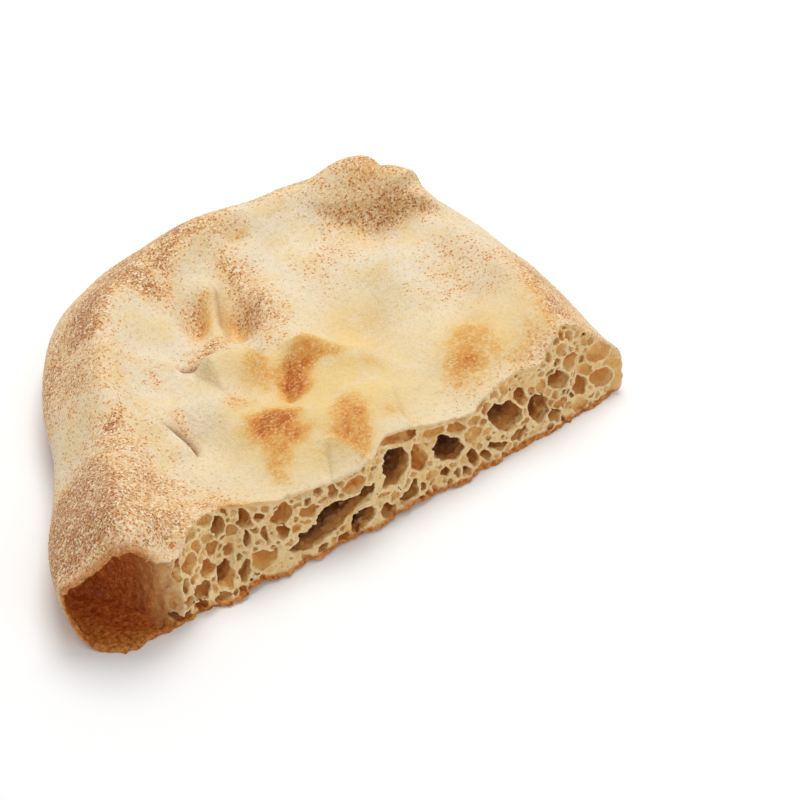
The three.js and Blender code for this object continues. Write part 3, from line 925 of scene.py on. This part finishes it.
# Colours of the skin, the lists as stops from 0 to 1
FLOURED = colour(231, 217, 190)
BARE = colour(232, 202, 138)
TAN_SPOTS = colour(212, 184, 138)
STAINS = [
    (0.0, colour(230, 198, 134)), (0.3, colour(224, 176, 100)), (0.6, colour(214, 148, 72)),
    (0.85, colour(202, 122, 50)), (1.0, colour(182, 102, 40)),
]
STAIN_FLECKS = colour(236, 208, 158)
STIPPLE = [(0.0, colour(216, 154, 80)), (0.35, colour(198, 118, 42)), (0.8, colour(162, 80, 22))]
VEIL = colour(234, 190, 124)
FLOUR_FLECKS = colour(242, 226, 196)
# Brown along the creases, which also paints the shade in them
SEAM_BROWN_AND_SHADE = colour(150, 92, 44)
# Colours of the crumb, the list from its face to the depth of its holes: cream on the face, then tan to dark
# brown with depth, which paints the shade in the holes
CRUMB_AND_PIT_SHADE = [
    (0.0, colour(236, 204, 148)), (0.13, colour(232, 186, 114)), (0.36, colour(220, 152, 74)),
    (0.65, colour(154, 94, 44)), (1.0, colour(106, 58, 26)),
]
CRUMB_SPOTS = colour(212, 172, 114)
# Painted shade in pores too small to be modelled
PORE_SHADE = colour(176, 122, 70)
UNDER_SKIN = colour(222, 178, 112)
# Painted highlight on the edges of the crumb's walls
WALL_EDGE_HIGHLIGHT = colour(244, 228, 190)
# Colours of the blister, of toasted edges, of the under side and of the grains
CARAMEL = [(0.32, colour(138, 60, 22)), (0.5, colour(186, 94, 38)), (0.68, colour(228, 148, 68))]
PALE_WALL = colour(206, 156, 94)
TOASTED_EDGE = [(0.36, colour(136, 70, 26)), (0.5, colour(196, 118, 46)), (0.66, colour(226, 164, 88))]
UNDER_SIDE = [(0.25, colour(160, 92, 44)), (0.5, colour(188, 122, 64)), (0.75, colour(210, 158, 98))]
UNDER_FLOUR = colour(232, 210, 172)
SEMOLINA = [
    (0.0, colour(240, 222, 186)), (0.45, colour(234, 202, 148)), (0.75, colour(210, 148, 82)),
    (1.0, colour(174, 100, 46)),
]
FLOOR_WHITE = (0.98, 0.98, 0.98, 1.0)

# Sizes of the textures
BARE_SIZE = 11.0
BLOTCH_SIZE = 7.0
UNEVEN_SIZE = 4.5
STREAK_SIZE = 2.2
STREAK_SQUEEZE = (1.0, 1.0, 0.15)
FINE_SIZE = 1.5
PORE_SIZE = 1.1
SPECK_SIZE = 0.85
STIPPLE_SIZE = 0.75
FLOUR_SIZE = 0.65
SEMOLINA_SIZE = 0.4
BUMP_HEIGHT = 0.35
LIGHT_REACH = 2.0


class Shader:
    """A material with short ways to add and join its nodes. Sizes are in millimetres."""

    def __init__(self, name):
        self.material = bpy.data.materials.new(name)
        self.material.use_nodes = True
        self.tree = self.material.node_tree
        self.surface = self.tree.nodes["Principled BSDF"]
        place = self.add("TexCoord").outputs["Object"]
        self.place = self.add("VectorMath", {0: place, 1: (1 / MM,) * 3}, operation="MULTIPLY").outputs[0]

    def add(self, kind, inputs=None, **settings):
        node = self.tree.nodes.new("ShaderNode" + kind)
        for name, value in settings.items():
            setattr(node, name, value)
        for name, value in (inputs or {}).items():
            self.put(node.inputs[name], value)
        return node

    def put(self, socket, value):
        if isinstance(value, bpy.types.NodeSocket):
            self.tree.links.new(value, socket)
        else:
            socket.default_value = value

    def attribute(self, name):
        return self.add("Attribute", attribute_name=name).outputs["Fac"]

    def math(self, operation, a, b=0.0, c=0.0):
        return self.add("Math", {0: a, 1: b, 2: c}, operation=operation).outputs[0]

    def span(self, value, low, high):
        inputs = {"Value": value, "From Min": low, "From Max": high}
        return self.add("MapRange", inputs, interpolation_type="SMOOTHSTEP").outputs["Result"]

    def mix(self, share, a, b):
        return self.add("Mix", {0: share, 6: a, 7: b}, data_type="RGBA").outputs[2]

    def noise(self, size, detail=3.0, roughness=0.55, place=None):
        place = self.place if place is None else place
        inputs = {"Vector": place, "Scale": 1 / size, "Detail": detail, "Roughness": roughness}
        return self.add("TexNoise", inputs).outputs["Fac"]

    def squeezed(self, factors):
        """The place with its coordinates multiplied, which draws a texture out along the smaller ones."""
        return self.add("VectorMath", {0: self.place, 1: factors}, operation="MULTIPLY").outputs[0]

    def cells(self, size):
        """A random number for each of many small cells, and the distance from each one's middle."""
        node = self.add("TexVoronoi", {"Vector": self.place, "Scale": 1 / size})
        parts = self.add("SeparateColor", {0: node.outputs["Color"]})
        return parts.outputs[0], node.outputs["Distance"]

    def ramp(self, value, stops):
        node = self.add("ValToRGB", {0: value})
        for element, (at, shade) in zip([*node.color_ramp.elements], stops):
            element.position = at
            element.color = shade
        for at, shade in stops[2:]:
            node.color_ramp.elements.new(at).color = shade
        return node.outputs["Color"]


def baked_dough():
    """Floured and browned skin, open crumb on the break and caramel brown in the blister."""
    s = Shader("baked_dough")
    toast, gold = s.attribute("toast"), s.attribute("gold")
    blotch, fine = s.noise(BLOTCH_SIZE, 4.0), s.noise(FINE_SIZE, 3.0)
    grain, grain_edge = s.cells(STIPPLE_SIZE)
    flour_grain, _ = s.cells(FLOUR_SIZE)
    pore, pore_edge = s.cells(PORE_SIZE)

    # Skin: cream under flour, golden where bare, browned in a stipple under flour and in stains elsewhere
    bare = s.math("MULTIPLY", s.span(s.noise(BARE_SIZE, 5.0, 0.62), 0.42, 0.66), 0.6)
    golden = s.math("MAXIMUM", bare, s.math("MULTIPLY", gold, s.span(blotch, 0.15, 0.5)))
    skin = s.mix(golden, FLOURED, BARE)
    skin = s.mix(s.math("MULTIPLY", s.span(fine, 0.45, 0.8), 0.5), skin, TAN_SPOTS)
    uneven = s.math("MULTIPLY_ADD", s.math("SUBTRACT", s.noise(UNEVEN_SIZE, 5.0, 0.65), 0.5), 2.2, 1.0)
    brownness = s.math("MULTIPLY", toast, uneven)
    grainy = s.math("MULTIPLY", toast, s.math("MULTIPLY_ADD", s.math("SUBTRACT", grain, 0.5), 0.5, uneven))
    stained = s.mix(s.span(grainy, 0.0, 0.4), skin, s.ramp(grainy, STAINS))
    stained = s.mix(s.math("MULTIPLY", s.span(flour_grain, 0.75, 1.0), 0.5), stained, STAIN_FLECKS)
    speck = s.noise(SPECK_SIZE, 3.0, 0.7)
    reach = s.math("MULTIPLY_ADD", brownness, -0.2, 0.63)
    stipple = s.span(s.math("SUBTRACT", speck, reach), -0.05, 0.07)
    veil = s.mix(s.math("MULTIPLY", s.span(brownness, 0.0, 0.6), 0.6), skin, VEIL)
    darkened = s.span(s.math("MULTIPLY_ADD", brownness, 0.75, grain), 0.94, 1.06)
    round_dots = s.math("MULTIPLY", darkened, s.span(grain_edge, 0.65, 0.4))
    stipple = s.math("MAXIMUM", s.math("MULTIPLY", stipple, 0.6), round_dots)
    stippled = s.mix(s.math("MULTIPLY", stipple, 0.95), veil, s.ramp(brownness, STIPPLE))
    flecks = s.math("MULTIPLY", s.span(flour_grain, 0.72, 0.95), s.span(brownness, 0.1, 0.5))
    stippled = s.mix(s.math("MULTIPLY", flecks, 0.85), stippled, FLOUR_FLECKS)
    skin = s.mix(s.span(gold, 0.25, 0.7), stippled, stained)
    # Brown along the creases, which also paints the shade in them
    skin = s.mix(s.math("MULTIPLY", s.span(s.attribute("seam_browning_and_shade"), 0.3, 0.9), 0.85), skin, SEAM_BROWN_AND_SHADE)

    # Crumb: cream walls, with painted shade from tan to brown in the holes
    pit_shade = s.math("MULTIPLY_ADD", s.math("SUBTRACT", fine, 0.5), 0.12, s.attribute("pit_shade"))
    crumb = s.ramp(pit_shade, CRUMB_AND_PIT_SHADE)
    crumb = s.mix(s.math("MULTIPLY", s.span(fine, 0.48, 0.8), 0.4), crumb, CRUMB_SPOTS)
    # Darker dots as painted shade in the crumb's tiny pores
    pore_shade_dots = s.math("MULTIPLY", s.span(pore_edge, 0.34, 0.16), s.span(pore, 0.3, 0.5))
    crumb = s.mix(s.math("MULTIPLY", pore_shade_dots, 0.55), crumb, PORE_SHADE)
    crumb = s.mix(s.math("MULTIPLY", s.attribute("head"), 0.75), crumb, UNDER_SKIN)
    # Painted highlight on the edges of the walls
    crumb = s.mix(s.math("MULTIPLY", s.attribute("ridge"), 0.7), crumb, WALL_EDGE_HIGHLIGHT)
    shell = s.mix(s.attribute("crumb"), skin, crumb)

    # Blister: caramel, paler towards the crumb, with a toasted lip, and the toasted foot of the break
    speckle = s.math("MULTIPLY_ADD", speck, 0.5, s.math("MULTIPLY", fine, 0.5))
    streaks = s.math("SUBTRACT", s.noise(STREAK_SIZE, 3.0, 0.6, s.squeezed(STREAK_SQUEEZE)), 0.5)
    pale = s.math("MULTIPLY_ADD", streaks, 0.6, s.attribute("pale_wall"))
    inner = s.mix(s.span(pale, 0.1, 0.9), s.ramp(speckle, CARAMEL), PALE_WALL)
    shell = s.mix(s.attribute("blister"), shell, inner)
    toasted = s.ramp(speckle, TOASTED_EDGE)
    shell = s.mix(s.math("MULTIPLY", s.attribute("singed"), 0.8), shell, toasted)
    shell = s.mix(s.attribute("foot"), shell, toasted)

    # Under side: evenly browned, darker in blotches and dusted with flour
    dusted = s.math("MULTIPLY", s.span(flour_grain, 0.55, 0.75), 0.5)
    below = s.mix(dusted, s.ramp(blotch, UNDER_SIDE), UNDER_FLOUR)
    shell = s.mix(s.attribute("under"), shell, below)

    relief = s.math("MULTIPLY_ADD", grain_edge, 0.4, s.math("MULTIPLY_ADD", speck, 0.5, fine))
    normal = s.add("Bump", {"Strength": 0.8, "Distance": BUMP_HEIGHT * MM, "Height": relief}).outputs[0]
    s.put(s.surface.inputs["Base Color"], shell)
    s.put(s.surface.inputs["Roughness"], s.math("MULTIPLY_ADD", s.attribute("blister"), -0.3, 0.78))
    s.put(s.surface.inputs["Normal"], normal)
    s.surface.inputs["Specular IOR Level"].default_value = 0.3
    s.surface.inputs["Subsurface Weight"].default_value = 0.12
    s.surface.inputs["Subsurface Radius"].default_value = (1.0, 0.55, 0.3)
    s.surface.inputs["Subsurface Scale"].default_value = LIGHT_REACH * MM
    return s.material


def semolina():
    """Pale grains, some of them toasted."""
    s = Shader("semolina")
    tone = s.math("MULTIPLY_ADD", s.math("SUBTRACT", s.noise(SEMOLINA_SIZE), 0.5), 0.2, s.attribute("tone"))
    s.put(s.surface.inputs["Base Color"], s.ramp(tone, SEMOLINA))
    s.surface.inputs["Roughness"].default_value = 0.55
    return s.material


# Camera: the eye and the direction of view, from the viewing angle and a point that shows at a known pixel
PICTURE = 800
VIEW_AZIMUTH = -35.0
VIEW_ELEVATION = 40.0
VIEW_DISTANCE = 900.0
PIXELS_PER_MM = 3.3
VIEW_POINT = Vector((1.7, -13.272, 12.0))
VIEW_PIXEL = (285.0, 395.0)
SENSOR = 36.0


def make_camera():
    azimuth, elevation = math.radians(VIEW_AZIMUTH), math.radians(VIEW_ELEVATION)
    level = math.cos(elevation)
    back = Vector((math.sin(azimuth) * level, -math.cos(azimuth) * level, math.sin(elevation)))
    right = Vector((math.cos(azimuth), math.sin(azimuth), 0))
    up = back.cross(right)
    focal = PIXELS_PER_MM * VIEW_DISTANCE
    across = (PICTURE / 2 - VIEW_PIXEL[0]) / focal
    down = (PICTURE / 2 - VIEW_PIXEL[1]) / focal
    forward = (across * right - down * up - back).normalized()
    data = bpy.data.cameras.new("camera")
    data.lens = focal / PICTURE * SENSOR
    data.sensor_width = SENSOR
    camera = bpy.data.objects.new("camera", data)
    camera.location = (VIEW_POINT - Vector(ORIGIN) + back * VIEW_DISTANCE) * MM
    camera.rotation_euler = forward.to_track_quat("-Z", "Y").to_euler()
    bpy.context.scene.collection.objects.link(camera)
    bpy.context.scene.camera = camera


# Studio: a white floor, even white surroundings, a broad lamp overhead and behind, and a weak one in front.
# Place, size and power of each lamp
FLOOR_HALF = 3.0
SKY = 0.52
LAMPS = {
    "main_lamp": (Vector((0.36, 0.38, 1.12)), 0.7, 9.4),
    "front_lamp": (Vector((0.0, -1.1, 0.8)), 1.0, 2.4),
}


def make_studio():
    scene = bpy.context.scene
    world = bpy.data.worlds.new("studio")
    world.use_nodes = True
    sky = world.node_tree.nodes["Background"]
    sky.inputs["Color"].default_value = (1, 1, 1, 1)
    sky.inputs["Strength"].default_value = SKY
    scene.world = world
    for name, (place, size, power) in LAMPS.items():
        lamp = bpy.data.lights.new(name, "AREA")
        lamp.energy = power
        lamp.size = size
        holder = bpy.data.objects.new(name, lamp)
        holder.location = place
        holder.rotation_euler = (-place).to_track_quat("-Z", "Y").to_euler()
        scene.collection.objects.link(holder)
    mesh = bpy.data.meshes.new("floor")
    corners = [(x * FLOOR_HALF, y * FLOOR_HALF, 0) for x, y in ((-1, -1), (1, -1), (1, 1), (-1, 1))]
    mesh.from_pydata(corners, [], [(0, 1, 2, 3)])
    floor = bpy.data.objects.new("floor", mesh)
    paint = bpy.data.materials.new("floor_white")
    paint.use_nodes = True
    surface = paint.node_tree.nodes["Principled BSDF"]
    surface.inputs["Base Color"].default_value = FLOOR_WHITE
    surface.inputs["Roughness"].default_value = 0.9
    mesh.materials.append(paint)
    scene.collection.objects.link(floor)
    scene.view_settings.view_transform = "Standard"


make_camera()
make_studio()
make_grains(make_bread())
